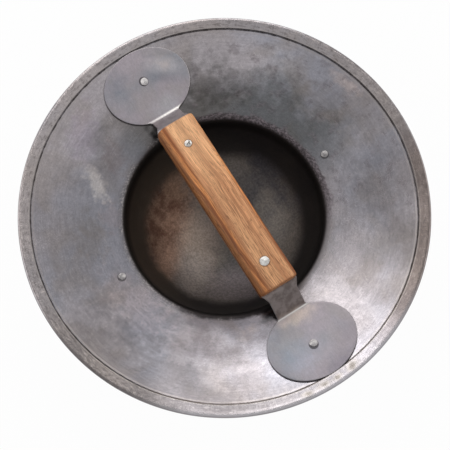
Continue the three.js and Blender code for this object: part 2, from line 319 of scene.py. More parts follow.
def sheet_line():
    """The middle of the sheet from the crown to the hem's cut edge: points, normals and the name of each zone."""
    centre_height = (MOUTH_RADIUS**2 + BOSS_DEPTH**2 - CROWN_FLAT**2) / (2 * BOSS_DEPTH)
    boss_radius = math.hypot(centre_height, CROWN_FLAT)
    boss_centre = np.array([0, SHEET / 2 + centre_height])
    crown = np.array([CROWN_FLAT / 2, SHEET / 2])
    crown_angle = math.pi / 2 + math.asin(CROWN_EASING / boss_radius)

    start = brim_end - MOUTH_ROUNDING * brim_normal
    from_boss = start - boss_centre
    nearest = from_boss @ brim_outward
    half_chord = math.sqrt(nearest**2 - from_boss @ from_boss + (boss_radius + MOUTH_ROUNDING) ** 2)
    mouth_centre = start - (nearest - half_chord) * brim_outward
    wall_angle = math.atan2(*(boss_centre - mouth_centre)[::-1])
    brim_angle = BRIM_SLOPE + math.pi / 2

    boss = arc(boss_centre, boss_radius, crown_angle, wall_angle, BOSS_STEPS)
    mouth = arc(mouth_centre, -MOUTH_ROUNDING, wall_angle, brim_angle, SHEET_BEND_STEPS)
    mouth = mouth[0][1:], mouth[1][1:]
    fold = arc(fold_centre, fold_radius, brim_angle, brim_angle + math.pi, SHEET_BEND_STEPS)
    hem_run = (fold[0][-1, 0] - hem_edge_radius) / math.cos(BRIM_SLOPE)
    hem_end = fold[0][-1] - hem_run * brim_outward
    under_seam = brim_point(hem_edge_radius)
    zones = [
        ("boss", (crown[None], np.array([[0.0, 1.0]]))),
        ("boss", boss),
        ("mouth", mouth),
        ("brim", straight(mouth[0][-1], under_seam, BRIM_STEPS, brim_normal)),
        ("brim", (under_seam[None], brim_normal[None])),
        ("brim", straight(under_seam, brim_end, UNDER_HEM_STEPS, brim_normal)),
        ("fold", fold),
        ("hem", straight(fold[0][-1], hem_end, HEM_STEPS, -brim_normal)),
        ("hem", (hem_end[None], -brim_normal[None])),
    ]
    names = np.concatenate([[name] * len(stretch[0]) for name, stretch in zones])
    return *joined([stretch for _, stretch in zones]), names


def sheet_outline():
    """Both faces of the sheet as one outline, front face first, with the wear zones along it.

    The fold turns the front face over, so past it the front face is the hem's visible side.
    """
    points, normals, names = sheet_line()
    front = points - normals * SHEET / 2
    back = points + normals * SHEET / 2
    in_fold = names == "fold"
    turned = np.where(names == "hem", 1.0, 0.0)
    turned[in_fold] = np.linspace(0, 1, in_fold.sum())
    mouth = np.where(names == "mouth")[0]
    past_mouth = np.where(names == "boss", 1.0, 0.0)
    past_mouth[mouth] = np.linspace(1, 0, len(mouth) + 2)[1:-1]
    lip_middle = points[mouth].mean(axis=0)
    lip = np.exp(-((np.linalg.norm(points - lip_middle, axis=1) / LIP_REACH) ** 2))
    to_seam = (hem_edge_radius - points[:, 0]) / math.cos(BRIM_SLOPE)

    # the hem's cut edge, a little rounded on its visible side
    edge_top, edge_low = front[-1], back[-1]
    down, inset = brim_normal * -HEM_EDGE_ROUNDING, brim_outward * HEM_EDGE_ROUNDING
    rounding = [edge_top + low * down + aside * inset for low, aside in ((0, 1), (0.12, 0.12), (1, 0))]
    outline = np.concatenate([front[:-1], rounding, [edge_low], back[:-1][::-1]])

    nothing, no_edge, edge = np.zeros(len(points) - 1), np.zeros(4), np.ones(4)
    values = {
        "back": np.concatenate([turned[:-1], edge, nothing + 1]),
        "hem": np.concatenate([turned[:-1], edge, nothing]),
        "bowl": np.concatenate([nothing, no_edge, past_mouth[:-1][::-1]]),
        "lip": np.concatenate([nothing, no_edge, lip[:-1][::-1]]),
        "seam": np.concatenate([
            np.where(turned > 0, to_seam, FAR_FROM_SEAM)[:-1], [-HEM_EDGE_ROUNDING, -0.1, 0, 0],
            np.where(names == "hem", 0, to_seam)[:-1][::-1],
        ]),
    }
    return outline, {key: numbers[:, None] for key, numbers in values.items()}


def hem_shift(angles):
    """How far the hem's cut edge strays from its circle round the shield."""
    lean = HEM_EDGE_LEAN * np.cos(angles - HEM_EDGE_LEAN_ANGLE)
    wander = sum(np.sin(turns * angles + 1.7 * turns) / math.sqrt(turns) for turns in HEM_EDGE_WAVES)
    off_plates = 1 - np.exp(-((np.cos(angles) / 0.3) ** 2))
    return lean + HEM_EDGE_WANDER * wander * off_plates


def shield_body(material):
    outline, values = sheet_outline()
    angles = circle(SHIELD_SEGMENTS)
    radius, height = outline[:, :1], outline[:, 1:]
    near_seam = np.clip(1 - np.abs(radius - hem_edge_radius) / HEM_EDGE_REACH, 0, 1)
    moved = (radius + near_seam * hem_shift(angles)[None, :]) * SHEET_SHARE
    height = height + (moved - radius) * math.tan(BRIM_SLOPE)
    x, y = moved * np.cos(angles), moved * np.sin(angles)
    rings = np.stack([x, y, height + unevenness(x, y)], axis=-1)
    show(loft("shield_sheet", rings, values), "shield_body", "body_steel", material)


# The strap


def half_width(u, side):
    """Half the strap's width at a distance u from the shield's axis, towards the plate on that side."""
    past_grip = (np.abs(u - side * GRIP_SHIFT) - scale_length / 2) / (SCALE_TO_BEND + SHOULDER_RUN)
    strip = np.interp(past_grip, [0, 1], [BRIDGE_WIDTH / 2, NECK_WIDTH / 2])
    along = (u - plate_middle) / (plate_length / 2)
    oval = PLATE_WIDTH / 2 * np.sqrt(np.clip(1 - along**2, 0, 1))
    flare = NECK_FLARE * np.clip(-along, 0, 1)
    blended = (oval + strip + np.sqrt((oval - strip) ** 2 + flare**2)) / 2
    return np.where(along < 0, blended, oval)


def half_strap(side):
    """Stations from the middle of the grip to the tip of one plate: points and normals in Y and Z."""
    lift = (SHEET / 2 + SEAT_GAP + STRAP / 2) / math.cos(BRIM_SLOPE)
    on_plate = lambda u: np.array([u, brim_point(u)[1] + lift])
    middle, bridge_end = (np.array([u + side * GRIP_SHIFT, bridge_height]) for u in (0, bridge_corner))
    foot, tip = on_plate(foot_corner), on_plate(plate_middle + plate_length / 2)
    upper = rounded_corner(middle, bridge_end, foot, BEND_RADIUS, STRAP_BEND_STEPS)
    lower = rounded_corner(bridge_end, foot, tip, BEND_RADIUS, STRAP_BEND_STEPS)
    start = math.acos((plate_middle - lower[0][-1, 0]) / (plate_length / 2))
    angles = np.linspace(start, PLATE_TIP_ANGLE, PLATE_STEPS)[1:]
    plate = np.array([on_plate(plate_middle - plate_length / 2 * math.cos(angle)) for angle in angles])
    stretches = [
        straight(middle, upper[0][0], BRIDGE_STEPS, np.array([0, 1])),
        upper,
        straight(upper[0][-1], lower[0][0], NECK_STEPS, upper[1][-1]),
        lower,
        (plate, np.tile(lower[1][-1], (len(plate), 1))),
    ]
    points, normals = joined(stretches)
    widths = half_width(points[:, 0], side)
    flip = np.array([side, 1])
    return points * flip, normals * flip, widths


def edge_profile():
    """The strap's section as shares of its half width, insets from its edge and heights; the edges are rounded."""
    turns = np.radians([0, 30, 60, 90])
    insets = STRAP_EDGE_ROUNDING * (1 - np.cos(turns))
    heights = STRAP / 2 - STRAP_EDGE_ROUNDING * (1 - np.sin(turns))
    columns = np.linspace(-1, 1, STRAP_COLUMNS)[1:-1]
    flat = np.ones_like(columns)
    upper = np.array([
        np.concatenate([-np.ones(4), columns, np.ones(4)]),
        np.concatenate([insets, flat * STRAP_EDGE_ROUNDING, insets[::-1]]),
        np.concatenate([heights, flat * STRAP / 2, heights[::-1]]),
    ])
    return np.concatenate([upper, upper[:, ::-1] * [[1], [1], [-1]]], axis=1)


def grip_strap(material):
    lower, upper = half_strap(-1), half_strap(1)
    points, normals, widths = (np.concatenate([low[::-1], high]) for low, high in zip(lower, upper))
    along = np.column_stack([normals[:, 1], -normals[:, 0]])

    # the outward normal of the strap's edge, across and along the strap
    steps = np.gradient(points, axis=0)
    run = np.einsum("ij,ij->i", steps, along)
    spread = np.gradient(widths)
    spread[0], spread[-1] = widths[0] + widths[1], -widths[-1] - widths[-2]
    slant = np.hypot(run, spread)
    across, forward = run / slant, -spread / slant

    shares, insets, heights = edge_profile()
    x = shares * np.maximum(widths[:, None] - insets * across[:, None], 0.01)
    offset = -insets * forward[:, None]
    yz = points[:, None] + offset[..., None] * along[:, None] + heights[:, None] * normals[:, None]
    x, y, z = STRAP_OFFSET + x, yz[..., 0], yz[..., 1]
    on_brim = np.clip((np.abs(y) - bridge_corner) / NECK_RUN, 0, 1)
    z = z + on_brim * ((np.hypot(x, y) - np.abs(y)) * math.tan(BRIM_SLOPE) + unevenness(x, y))
    cut_edge = np.where(insets < STRAP_EDGE_ROUNDING * 0.6, 1.0, 0.0)
    piece = loft("plate_strap", np.stack([x, y, z], axis=-1), {"cut_edge": cut_edge})
    show(piece, "grip_strap", "strap_steel", material)


# The wooden scales


def scale_section():
    """The section of a scale across its width, flat side down, as points from the lower left corner round."""
    half = SCALE_WIDTH / 2
    shoulder = SCALE_THICKNESS - SCALE_CROWN
    turns = np.linspace(0, math.pi / 2, SCALE_EDGE_STEPS)
    right, left = (
        np.column_stack([side * (half - rounding * (1 - np.cos(turns))), shoulder - rounding * (1 - np.sin(turns))])
        for side, rounding in ((1, SCALE_RIGHT_ROUNDING), (-1, SCALE_LEFT_ROUNDING))
    )
    edges = right[-1, 0], left[-1, 0]
    middle, reach = sum(edges) / 2, (edges[0] - edges[1]) / 2
    across = np.linspace(1, -1, SCALE_COLUMNS)[1:-1]
    top = np.column_stack([middle + reach * across, shoulder + SCALE_CROWN * (1 - across**2)])
    base = np.linspace(-half, half, SCALE_BASE_COLUMNS)
    base = np.column_stack([base, np.full(SCALE_BASE_COLUMNS, -SEAT_GAP * 0.8)])
    return np.concatenate([base, right, top, left[::-1]])


def rounded_off(to_end, radius):
    """How far a face falls back near the end that a rounding of some radius takes over."""
    back = radius - np.sqrt(np.clip(2 * radius * to_end - to_end**2, 0, None))
    return np.where(to_end < radius, back, 0)


def scale_rings(seed):
    """Rings along a scale: its ends are rounded over and its long edges are a little uneven."""
    half = scale_length / 2
    turns = np.linspace(0, math.pi / 2, SCALE_END_STEPS)
    ends = half - SCALE_END_ROUNDING * (1 - np.sin(turns))
    rows = np.concatenate([-ends[::-1], np.linspace(-ends[0], ends[0], SCALE_ROWS)[1:-1], ends])
    to_end = half - np.abs(rows)
    over = rounded_off(to_end, SCALE_END_ROUNDING)
    corner = rounded_off(to_end, SCALE_CORNER_ROUNDING) / 2

    section = scale_section()
    x, z = section[None, :, 0], section[None, :, 1]
    narrowed = x * (1 - (over + corner) / (SCALE_WIDTH / 2))[:, None]
    lowered = z * (1 - over / SCALE_THICKNESS)[:, None]
    chance = np.random.default_rng(seed)
    wear = np.zeros_like(narrowed)
    for length in SCALE_WEAR_LENGTHS:
        phase = chance.uniform(0, 2 * math.pi, 2)
        wear += np.sin(rows[:, None] * 2 * math.pi / length + phase[0] + np.sign(x) * phase[1])
    side = np.clip((np.abs(x) - SCALE_WIDTH / 4) / (SCALE_WIDTH / 4), 0, 1) * np.sign(x)
    narrowed = narrowed - side * SCALE_WEAR * (1 + wear / len(SCALE_WEAR_LENGTHS))
    return np.stack([narrowed, np.broadcast_to(rows[:, None], narrowed.shape), lowered], axis=-1)


def grip_scale(node, side, material):
    """A scale on the outer (side 1) or inner (side -1) face of the bridge."""
    rings = scale_rings(3 + side)
    rings[..., 0] *= side
    rings[..., 2] = side * (rings[..., 2] + STRAP / 2 + SEAT_GAP)
    piece = loft(f"{node}_wood", rings + np.array([STRAP_OFFSET, GRIP_SHIFT, bridge_height]))
    show(piece, node, "grip_wood", material)


# Rivets


def head_rings(face, side, head, seed):
    """A hammered head from its rim to its middle: a low dome with a few flats beaten into it."""
    chance = np.random.default_rng(seed)
    angles = circle(RIVET_SEGMENTS)
    out = np.sin(np.linspace(math.pi / 2, HEAD_MIDDLE_ANGLE, HEAD_RINGS))[:, None]
    ragged = 1 + 0.03 * np.sin(2 * angles + seed) + 0.02 * np.sin(5 * angles + 2 * seed)
    reach = out * head.radius * ragged
    x, y = reach * np.cos(angles), reach * np.sin(angles)
    dome = head.height * (1 - out**head.fullness) ** (1 / head.fullness) * np.ones_like(angles)
    for _ in range(head.flats):
        angle, tilt, depth = chance.uniform(0, 2 * math.pi), chance.uniform(*FLAT_TILTS), chance.uniform(*FLAT_DEPTHS)
        flat = head.height * (1 - depth) - (x * math.cos(angle) + y * math.sin(angle)) * tilt
        dome = np.minimum(dome, np.maximum(flat, 0))
    return np.stack([x, y, face + side * dome], axis=-1)


def rivet(node, place, faces, head, seed, slot, material, shank_radius):
    """A rivet along its own Z, with a head on each face; place takes it to the model's frame."""
    front, back = faces
    angles = circle(RIVET_SEGMENTS)
    round_shank = np.stack([shank_radius * np.cos(angles), shank_radius * np.sin(angles), 0 * angles], axis=-1)
    shank = np.stack([round_shank + [0, 0, face] for face in faces])
    rings = [head_rings(front, -1, head, seed + 40)[::-1], shank, head_rings(back, 1, head, seed)]
    turn, spot = place
    piece = loft(f"{node}_head", np.concatenate(rings) @ np.array(turn).T + spot)
    show(piece, node, slot, material)


def on_brim(x, y):
    """A place in the middle of the brim's sheet, with +Z square to it."""
    radius = math.hypot(x, y)
    square = Vector((brim_normal[0] * x / radius, brim_normal[0] * y / radius, brim_normal[1]))
    turn = Vector((0, 0, 1)).rotation_difference(square).to_matrix()
    return turn, np.array([x, y, brim_point(radius)[1] + float(unevenness(x, y))])


def in_grip(y):
    return Matrix.Identity(3), np.array([STRAP_OFFSET, GRIP_SHIFT + y, bridge_height])


def plate_rivet_place(side):
    return STRAP_OFFSET, PLATE_RIVET_SHIFT + side * (plate_middle + PLATE_RIVET_OUTSET)


def rivets(brim_material, grip_material):
    front, back = -SHEET / 2, SHEET / 2
    plate_faces = front, back + SEAT_GAP + STRAP
    scale_face = STRAP / 2 + SEAT_GAP + SCALE_THICKNESS
    aside = MOUTH_RADIUS + BODY_RIVET_TO_MOUTH
    for row in (
        ("plate_rivet_upper", on_brim(*plate_rivet_place(1)), plate_faces, PLATE_HEAD, 5),
        ("plate_rivet_lower", on_brim(*plate_rivet_place(-1)), plate_faces, PLATE_HEAD, 9),
        ("body_rivet_left", on_brim(-aside, 0), (front, back), BODY_HEAD, 14),
        ("body_rivet_right", on_brim(aside, 0), (front, back), BODY_HEAD, 21),
    ):
        rivet(*row, "brim_rivet_steel", brim_material, BRIM_SHANK_RADIUS)
    for name, side, head, seed in (("upper", 1, UPPER_GRIP_HEAD, 2), ("lower", -1, LOWER_GRIP_HEAD, 33)):
        rivet(f"grip_rivet_{name}", in_grip(side * grip_rivet_reach), (-scale_face, scale_face), head, seed,
              "grip_rivet_steel", grip_material, GRIP_SHANK_RADIUS)


# Materials. Tables and spot() give places in millimetres, and ramps of a radius or a coordinate are in metres.
# Directions are degrees from +X. Colours are red, green and blue as a picture shows them.

NOISE_LOW = 0.3
NOISE_HIGH = 0.7
SPOT_FRAY = 160


def tone(red, green, blue):
    """A colour as a picture shows it, turned into linear light."""
    linear = lambda c: c / 12.92 if c <= 0.04045 else ((c + 0.055) / 1.055) ** 2.4
    return (*(linear(c / 255) for c in (red, green, blue)), 1.0)


def arithmetic(operation):
    return lambda value, other: value.shader.math(operation, value, other)


class Value:
    """What a node gives. Arithmetic on it adds the nodes that work it out."""

    def __init__(self, shader, socket):
        self.shader = shader
        self.socket = socket

    __mul__, __truediv__ = arithmetic("MULTIPLY"), arithmetic("DIVIDE")
    __add__, __sub__ = arithmetic("ADD"), arithmetic("SUBTRACT")
    larger = arithmetic("MAXIMUM")

    def __rsub__(self, other):
        return self.shader.math("SUBTRACT", other, self)

    def __abs__(self):
        return self.shader.math("ABSOLUTE", self)

    def ramp(self, start, end, low=0.0, high=1.0):
        """Eases from low to high while the value goes from start to end, which may run down."""
        inputs = {0: self, 1: start, 2: end, 3: low, 4: high}
        return self.shader.value("ShaderNodeMapRange", inputs, interpolation_type="SMOOTHSTEP", clamp=True)

    def spread(self, low, high):
        """Stretches a noise, most of which lies round one half, from low to high."""
        return self.ramp(NOISE_LOW, NOISE_HIGH, low, high)

    def mix(self, share, aim):
        return self.shader.mix(share, self, aim)

    def dim(self, factor):
        return self.shader.value("ShaderNodeVectorMath", {0: self, "Scale": factor}, operation="SCALE")

    def stain(self, share, aim, base):
        """Takes a colour from a base tone towards an aim by some share and keeps its marks."""
        ratio = [a / b for a, b in zip(tone(*aim)[:3], tone(*base))]
        return self.mix(share, self.shader.vector("MULTIPLY", self, ratio))


class Shader:
    """A material, with one short call for each kind of node that it uses."""

    def __init__(self, name):
        self.material = bpy.data.materials.new(name)
        self.material.use_nodes = True
        self.tree = self.material.node_tree
        self.surface = self.tree.nodes["Principled BSDF"]
        self.place = self.value("ShaderNodeTexCoord", output="Object")

    def node(self, kind, inputs=None, **settings):
        node = self.tree.nodes.new(kind)
        for key, value in settings.items():
            setattr(node, key, value)
        for key, value in (inputs or {}).items():
            self.feed(node.inputs[key], value)
        return node

    def value(self, kind, inputs=None, output=0, **settings):
        return Value(self, self.node(kind, inputs, **settings).outputs[output])

    def feed(self, socket, value):
        if isinstance(value, Value):
            self.tree.links.new(value.socket, socket)
        else:
            socket.default_value = value

    def math(self, operation, a, b=0.0):
        return self.value("ShaderNodeMath", {0: a, 1: b}, operation=operation)

    def vector(self, operation, a, b):
        return self.value("ShaderNodeVectorMath", {0: a, 1: b}, operation=operation)

    def length(self, vector):
        return self.value("ShaderNodeVectorMath", {0: vector}, "Value", operation="LENGTH")

    def join(self, x, y, z):
        return self.value("ShaderNodeCombineXYZ", {0: x, 1: y, 2: z})

    def split(self, vector):
        return [Value(self, part) for part in self.node("ShaderNodeSeparateXYZ", {0: vector}).outputs]

    def noise(self, scale=1.0, detail=3.0, roughness=0.55, distortion=0.0, vector=None):
        inputs = {"Vector": vector or self.place, "Scale": scale, "Detail": detail, "Roughness": roughness}
        return self.value("ShaderNodeTexNoise", {**inputs, "Distortion": distortion}, "Fac")

    def fibres(self, vector, across, along, **settings):
        """Noise that is drawn out along Y."""
        return self.noise(vector=self.vector("MULTIPLY", vector, (across, along, across)), **settings)

    def mix(self, share, a, b):
        a, b = (colour if isinstance(colour, Value) else tone(*colour) for colour in (a, b))
        return self.value("ShaderNodeMix", {0: share, 6: a, 7: b}, 2, data_type="RGBA")

    def attribute(self, name):
        return self.value("ShaderNodeAttribute", output="Fac", attribute_name=name)

    def spot(self, x, y, along, across, turn=0.0, ragged=0.0):
        """Distance from a place on the model, in shares of two half lengths, with a ragged edge."""
        inputs = {"Vector": self.place, "Location": (x * MM, y * MM, 0), "Rotation": (0, 0, math.radians(turn)),
                  "Scale": (along * MM, across * MM, 1000)}
        distance = self.length(self.value("ShaderNodeMapping", inputs, vector_type="TEXTURE"))
        if not ragged:
            return distance
        return distance + (self.noise(SPOT_FRAY, detail=4) - 0.5) * ragged

    def finish(self, colour, roughness, heights, metallic=1.0):
        """Sets the surface. heights are pairs of a height and its depth in millimetres."""
        normal = {}
        for height, depth in heights:
            inputs = {"Height": height, "Distance": depth * MM, "Strength": 1.0, **normal}
            normal = {"Normal": self.value("ShaderNodeBump", inputs)}
        settings = {"Base Color": colour, "Roughness": roughness, "Metallic": metallic, **normal}
        for key, value in settings.items():
            self.feed(self.surface.inputs[key], value)
        return self.material


class Polar:
    """The place round the shield's axis: its direction and its radius in metres."""

    def __init__(self, shader):
        self.shader = shader
        x, y, _ = shader.split(shader.place)
        self.radius = shader.length(shader.join(x, y, 0.0))
        self.x, self.y = x / self.radius, y / self.radius

    def noise(self, around, across, **settings):
        """Noise that is drawn out round the shield, or across it where across is small."""
        vector = self.shader.join(self.x * around, self.y * around, self.radius * across)
        return self.shader.noise(vector=vector, **settings)

    def towards(self, degrees, start, end):
        """A mask round one direction: the cosine of the angle from it, eased from start to end."""
        angle = math.radians(degrees)
        return (self.x * math.cos(angle) + self.y * math.sin(angle)).ramp(start, end)

    def from_rim(self, start, end, high=1.0):
        """A mask by the distance in from the rim, in millimetres."""
        return self.radius.ramp((RIM_RADIUS - start) * MM, (RIM_RADIUS - end) * MM, high=high)


# Fine scratches: direction in degrees and how close the noise is across and along them
SCRATCHES = ((24, 900, 90), (-58, 1000, 120), (80, 1200, 70))
SCRATCH_SHARE = 0.73

# Cool, warm and brown tone of each steel; stains are laid on the warm one
BODY_TONES = ((165, 164, 173), (171, 165, 169), (166, 157, 154))
STRAP_TONES = ((160, 161, 169), (182, 174, 181), (183, 177, 178))
MARK_TONE = (214, 208, 208)
PIT_TONE = (90, 86, 86)

# Sectors of the brim painted darker, painted shade where the lamps' reflection falls off: direction, the radii
# between which they set in and their loss of light
BRIM_SHADED_SECTORS = ((207, 0.105, 0.124, 0.33), (246, 0.116, 0.128, 0.16), (-34, 0.09, 0.12, 0.22))

# Patches: middle, half lengths, turn in degrees, strength and colour. First stains on the back of the brim, among
# them painted shade beside the lower neck and a painted shadow beside the upper neck
BRIM_STAINS_AND_SHADE = (
    (-68.2, 69, 12.5, 5.5, 82, 0.9, (224, 213, 208)),
    (-71, 41, 12, 7, 84, 0.35, (180, 162, 162)),
    (129, 37, 12, 4, 106, 0.6, (206, 190, 186)),
    (-46, 82, 11, 7, 80, 0.4, (164, 146, 144)),
    (-57, 106, 18, 10, 60, 0.45, (180, 168, 182)),
    (84, -21, 17, 5, 58, 0.35, (184, 178, 184)),
    (70, -49, 7, 5, 40, 0.35, (172, 168, 174)),
    (-92, 36, 20, 9, 70, 0.4, (150, 140, 134)),
    (-89, -22, 30, 14, 104, 0.6, (196, 184, 188)),
    (44, 88, 24, 13, 154, 0.7, (120, 116, 117)),
    (89, 70, 16, 16, 0, 0.4, (202, 196, 200)),
    (103, -6, 22, 14, 87, 0.45, (198, 190, 194)),
    (108, 34, 22, 10, 105, 0.4, (152, 142, 138)),
    (-64.5, -46.5, 14, 3, -53, 0.5, (198, 188, 188)),
    # painted shade beside the lower neck
    (-13.5, -81.5, 5, 4, 0, 0.7, (98, 102, 104)),
    (-29, -82, 6, 3, -20, 0.5, (206, 192, 186)),
    # painted shade beside the lower neck
    (-17, -87, 9, 8, 0, 0.3, (120, 114, 115)),
    # a painted shadow of the upper neck on the brim
    (-12, 79, 8, 3, 100, 0.9, (40, 37, 39)),
    (39, -93, 17, 12, -68, 0.6, (210, 203, 208)),
    (-44, -103, 12, 8, -23, 0.7, (200, 193, 198)),
    (-58, 78, 11, 8, 130, 0.4, (146, 142, 148)),
)
# Paler patches inside the boss: rust lightened by painted light, and painted pools of light
BOWL_RUST_AND_LIGHT = (
    (-51, 0, 16, 11, 55, 0.85, (206, 170, 150)),
    (-13, 53, 13, 10, 55, 0.75, (186, 152, 130)),
    (-40, -16, 22, 15, 55, 0.8, (200, 188, 182)),
    (-8, 10, 14, 9, 55, 0.4, (180, 162, 152)),
    (31, 41, 5, 13, 55, 0.6, (160, 152, 146)),
)
# Patches on the two plates
PLATE_PATCHES = (
    (0, -112, 28, 24, 0, 0.35, (196, 190, 200)),
    (5, -92.5, 16, 6, 0, 1.0, (222, 208, 202)),
    (8, 93, 13, 8, 0, 0.6, (198, 198, 204)),
    (21.5, 121, 14, 6, -32, 1.0, (222, 207, 211)),
    (17, 112, 14, 4, -36, 0.5, (158, 153, 163)),
    (-12, -120, 14, 13, 0, 0.5, (184, 186, 200)),
    (12, -139, 14, 9, 0, 0.7, (158, 151, 162)),
    (27, -125, 9, 14, 0, 0.5, (168, 161, 169)),
    (-17, 125, 11, 11, 0, 0.7, (152, 153, 163)),
)
# Worn spots on the hem: middle, half lengths and turn, then their light and dark layers: where each starts and ends,
# its strength and its tone
HEM_SPOTS = (
    (16, -143.8, 3.4, 1.9, 6),
    (3.3, -145, 2.6, 1.5, 0),
    (-8, -144.5, 3.6, 1.7, -4),
    (-21, -143.9, 3, 1.6, -8),
)
HEM_SPOT_LAYERS = ((2.4, 0.8, 0.45, (184, 177, 171)), (1.3, 0.2, 0.6, (104, 97, 88)))
# Sectors of the hem that are duller, or brighter where the loss is negative: direction, start, end and loss
HEM_DULLS = ((203, 0.86, 0.985, 0.33), (115, 0.55, 0.85, -0.1))

# Grooves in the upper rivet of the grip: distance aside from its middle and turn, then their half lengths
GROOVES = ((-0.2, 20), (0.9, 74))
GROOVE_SIZE = (2.2, 0.42)

# Levels of the growth noise at which the wood has a thin dark line
GROWTH_LEVELS = (0.36, 0.44, 0.5, 0.56, 0.64)


def patched(shader, colour, patches, ragged, fade, base=None, inside=1.0):
    """Lays patches on a colour, mixed in or, where there is a base tone, as stains that keep its marks."""
    for x, y, along, across, turn, strength, aim in patches:
        mask = shader.spot(x, y, along, across, turn, ragged).ramp(*fade, high=strength) * inside
        if base:
            colour = colour.stain(mask, aim, base)
        else:
            colour = colour.mix(mask, aim)
    return colour


def scratched(shader, turn, wide, long):
    """A mask of fine straight scratches in one direction."""
    inputs = {"Vector": shader.place, "Rotation": (0, 0, math.radians(turn)), "Scale": (wide, long, 1)}
    lines = shader.noise(vector=shader.value("ShaderNodeMapping", inputs), detail=1)
    return lines.ramp(SCRATCH_SHARE, SCRATCH_SHARE + 0.05)


def worn_steel(shader, tones, brushed, patch, contrast):
    """Soft patches of three tones with brush marks, scratches and specks: colour, roughness, heights."""
    cool, warm, brown = tones
    cloud = shader.noise(patch, detail=3, roughness=0.5)
    drift = shader.noise(patch * 2.6, detail=2, roughness=0.5, distortion=0.4)
    mottle = shader.noise(patch * 19, detail=4, roughness=0.6)
    grain = shader.noise(patch * 50, detail=3, roughness=0.68)
    colour = shader.mix(cloud.ramp(0.38, 0.62), cool, warm)
    colour = colour.mix(drift.ramp(0.46, 0.7, high=0.5), brown)
    for value, share in ((drift, -0.045), (mottle, 0.035), (brushed, 0.05), (grain, 0.065)):
        colour = colour.dim(value.spread(1 - share * contrast, 1 + share * contrast))
    marks = shader.noise(patch * 100, detail=2).ramp(0.68, 0.76)
    for scratch in SCRATCHES:
        marks = marks.larger(scratched(shader, *scratch))
    colour = colour.mix(marks * (0.24 * contrast), MARK_TONE)
    pit = shader.noise(patch * 70, detail=2).ramp(0.72, 0.8)
    colour = colour.mix(pit * (0.25 * contrast), PIT_TONE)
    rough = cloud.ramp(0.35, 0.65, -0.02, 0.03) + mottle.spread(-0.02, 0.03)
    return colour, rough, [(mottle, 0.003), (grain, 0.001), (brushed, 0.0014), (1 - pit, 0.008)]


def shield_steel():
    shader = Shader("shield_steel")
    polar = Polar(shader)
    brushed = polar.noise(7, 760, detail=3, roughness=0.7)
    colour, rough, heights = worn_steel(shader, BODY_TONES, brushed, patch=13, contrast=1.25)
    base = BODY_TONES[1]
    back, hem, bowl = (shader.attribute(name) for name in ("back", "hem", "bowl"))

    # a darker patina over the far side of the mouth
    smoke = shader.noise(38, detail=5, roughness=0.62)
    reach = polar.radius + smoke.spread(0.012, -0.012)
    patina = reach.ramp(0.124, 0.088) * polar.towards(54, 0.25, 0.8) * back
    colour = colour.stain(patina * 0.85, (112, 110, 108), base)
    rough = rough + 0.19 + patina * 0.08

    # the brim is darker along the near side of the mouth and lighter towards the rim at the far side, and painted
    # shade darkens three sectors
    near_mouth_dark = reach.ramp(0.112, 0.086, high=0.75) * polar.towards(-117, 0.8, 0.96)
    colour = colour.stain(near_mouth_dark * back, (112, 103, 105), base)
    lightened = reach.ramp(0.096, 0.13, high=0.4) * polar.towards(84, 0.38, 0.78)
    colour = colour.dim(lightened + 1)
    # painted shade: three sectors darkened where the lamps' reflection should fade
    for turn, inner, outer, loss in BRIM_SHADED_SECTORS:
        sector_shade = reach.ramp(inner, outer, high=loss) * polar.towards(turn, 0.87, 0.98)
        colour = colour.dim(1 - sector_shade)
    # stains on the brim, with painted shade and a painted shadow beside the necks
    colour = patched(shader, colour, BRIM_STAINS_AND_SHADE, 3.0, (1.55, 0.3), base, back)

    colour, rough, flakes = lip_wear(shader, polar, colour, rough)
    colour, rough, hatch = hem_wear(shader, polar, colour, rough, hem)
    # painted shade along the plates and painted shadows round the body rivets
    colour = brim_painted_shade(shader, polar.radius, colour, back)
    # the inside of the boss, with painted light and painted shade
    colour, rough = bowl_rust_and_light(shader, polar, colour, rough, bowl)
    return shader.finish(colour, rough, [*heights, (hatch * hem, 0.02), (flakes, 0.02)])


def brim_painted_shade(shader, radius, colour, back):
    """Dark painted shade on the brim in the corner along each plate towards the mouth, and painted shadows round the
    rivets beside the boss.
    """
    for side in (1, -1):
        plate = shader.spot(STRAP_OFFSET, side * plate_middle, PLATE_WIDTH / 2, plate_length / 2)
        # painted shade in the corner where the plate meets the brim
        plate_shade = plate.ramp(1.035, 1.005, high=0.4) * back * radius.ramp(0.128, 0.11)
        colour = colour.mix(plate_shade, (60, 55, 54))
        rivet_x = side * (MOUTH_RADIUS + BODY_RIVET_TO_MOUTH) - 0.3
        # a painted shadow round the rivet, set off to one side
        rivet_shadow = shader.spot(rivet_x, -0.5, BODY_HEAD.radius, BODY_HEAD.radius)
        colour = colour.mix(rivet_shadow.ramp(1.3, 1.08, high=0.6) * back, (60, 56, 58))
    return colour


